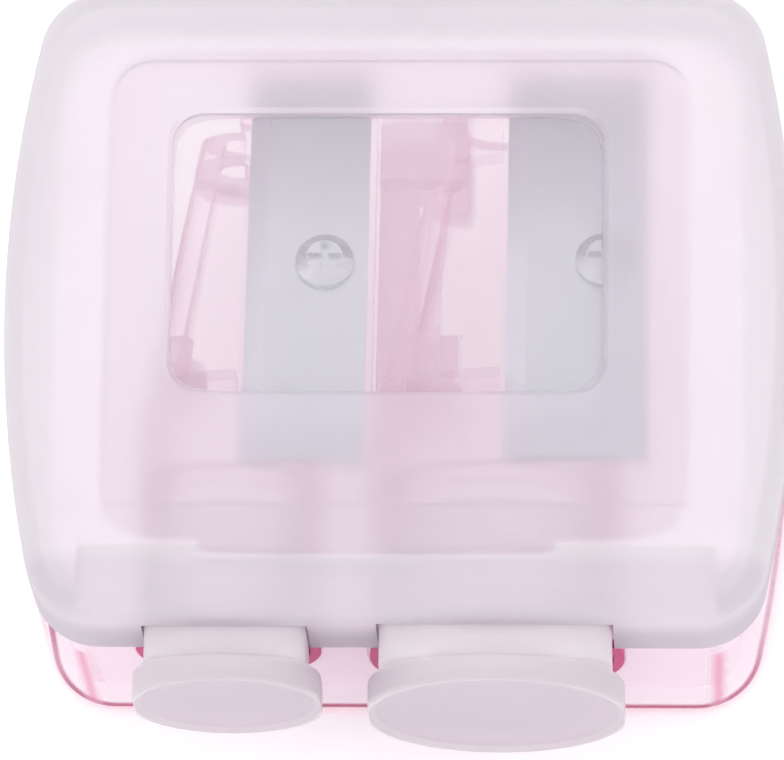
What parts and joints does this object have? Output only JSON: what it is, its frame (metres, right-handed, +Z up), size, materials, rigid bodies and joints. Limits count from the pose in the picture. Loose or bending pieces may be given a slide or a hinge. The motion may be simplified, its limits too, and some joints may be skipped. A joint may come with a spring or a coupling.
{
  "type": "pencil sharpener",
  "caption": "Two-hole pencil sharpener with steel blades in a clear pink tray, under a frosted windowed lid, with a frosted stopper in each pencil hole.",
  "frame": {"origin": "on the table, under the middle of the tray's underside", "axes": "+Z up from the table through the lid; +Y the way a pencil is pushed in; +X to the right, so that the small hole is at -X"},
  "size_m": [0.0452, 0.0415, 0.02],
  "materials": {
    "frosted_plastic": "milky see-through polypropylene, softly frosted, with a polished window",
    "clear_pink_plastic": "clear tinted polystyrene, polished, glowing deeper pink along its edges",
    "blade_steel": "ground and lightly brushed",
    "screw_steel": "bright, turned"
  },
  "bodies": {
    "box": {"base_tray": "clear_pink_plastic", "insert_frame": "clear_pink_plastic", "small_sharpener_body": "clear_pink_plastic", "large_sharpener_body": "clear_pink_plastic", "small_blade": "blade_steel", "large_blade": "blade_steel", "small_blade_screw": "screw_steel", "large_blade_screw": "screw_steel"},
    "lid": {"cover": "frosted_plastic"},
    "small_stopper": {"small_plug": "frosted_plastic"},
    "large_stopper": {"large_plug": "frosted_plastic"}
  },
  "joints": [
    {"name": "lid_lift", "type": "slide", "parent": "box", "child": "lid", "axis": [0, 0, 1], "range_m": [0, 0.012]},
    {"name": "small_plug_pull", "type": "slide", "parent": "box", "child": "small_stopper", "axis": [0, -1, 0], "range_m": [0, 0.012]},
    {"name": "large_plug_pull", "type": "slide", "parent": "box", "child": "large_stopper", "axis": [0, -1, 0], "range_m": [0, 0.012]}
  ]
}
